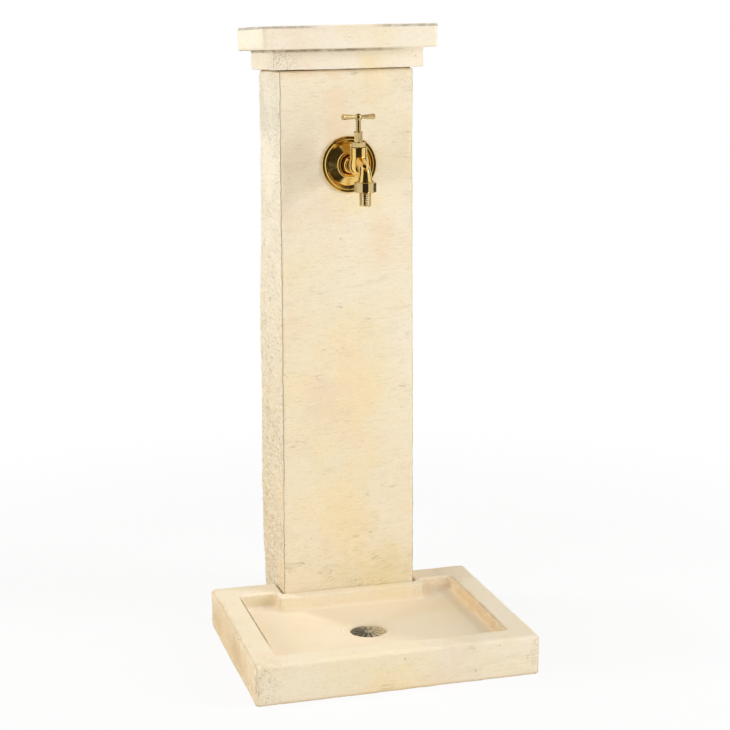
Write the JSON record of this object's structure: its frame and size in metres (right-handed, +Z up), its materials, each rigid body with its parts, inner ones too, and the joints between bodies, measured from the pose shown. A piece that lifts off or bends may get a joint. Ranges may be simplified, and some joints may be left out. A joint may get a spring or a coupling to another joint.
{
  "type": "column fountain",
  "caption": "Cast stone garden fountain: square column with a stepped capital, a shallow draining basin at its foot and a brass tap with a T-handle and hose tail.",
  "frame": {"origin": "on the ground, in the middle of the footprint's bounding box", "axes": "+Z up; -Y is the front, where the tap points; +X is to the right as seen from the front"},
  "size_m": [0.455, 0.468, 1],
  "materials": {
    "cast_stone": "pale cream cast stone, fine pits and faint strata",
    "bedding_mortar": "dark rough mortar",
    "gilt_brass": "polished and lacquered, deep gold",
    "tap_brass": "polished, pale gold",
    "inner_brass": "as turned",
    "pipe_brass": "dull, as cast",
    "pipe_copper": "dull copper",
    "seal_rubber": "matt black",
    "seal_fibre": "red fibre",
    "waste_plastic": "grey pipe plastic",
    "strainer_steel": "stamped steel, weathered",
    "clip_plastic": "pale grey plastic",
    "screw_steel": "plated"
  },
  "bodies": {
    "root": {"basin": "cast_stone", "column": "cast_stone", "capital": "cast_stone", "capital_bed": "bedding_mortar", "rosette": "gilt_brass", "tap_body": "tap_brass", "bonnet": "tap_brass", "gland_nut": "tap_brass", "wall_nipple": "pipe_brass", "flanged_elbow": "pipe_brass", "elbow_nut": "pipe_brass", "elbow_olive": "pipe_brass", "foot_coupler": "pipe_brass", "foot_nut": "pipe_brass", "foot_olive": "pipe_brass", "riser_pipe": "pipe_copper", "bonnet_washer": "seal_fibre", "gland_packing": "seal_fibre", "waste_socket": "waste_plastic", "lower_pipe_clip": "clip_plastic", "upper_pipe_clip": "clip_plastic", "wall_plugs": "clip_plastic", "elbow_screws": "screw_steel", "clip_screws": "screw_steel"},
    "valve": {"jumper_valve": "inner_brass", "jumper_washer": "seal_rubber", "jumper_nut": "inner_brass"},
    "handle": {"spindle": "inner_brass", "t_handle": "tap_brass", "handle_pin": "inner_brass"},
    "tail": {"hose_tail": "tap_brass", "hose_washer": "seal_rubber"},
    "union": {"union_nut": "tap_brass"},
    "grate": {"strainer": "strainer_steel"}
  },
  "joints": [
    {"name": "valve_lift", "type": "slide", "parent": "root", "child": "valve", "axis": [0, 0, 1], "range_m": [0, 0.005]},
    {"name": "handle_turn", "type": "hinge", "parent": "valve", "child": "handle", "pos_m": [0.0045, 0.0125, 0.78], "axis": [0, 0, 1], "range_deg": [0, 720]},
    {"name": "tail_drop", "type": "slide", "parent": "root", "child": "tail", "axis": [0, 0, -1], "range_m": [0, 0.00726]},
    {"name": "union_turn", "type": "hinge", "parent": "tail", "child": "union", "pos_m": [0.0045, -0.0255, 0.75], "axis": [0, 0, -1], "range_deg": [0, 1440]},
    {"name": "strainer_lift", "type": "slide", "parent": "root", "child": "grate", "axis": [0, 0, 1], "range_m": [0, 0.03]}
  ],
  "couplings": [
    {"joint": "handle_turn", "follows": "valve_lift", "rad_per_m": 2513},
    {"joint": "union_turn", "follows": "tail_drop", "rad_per_m": 3461.5}
  ]
}
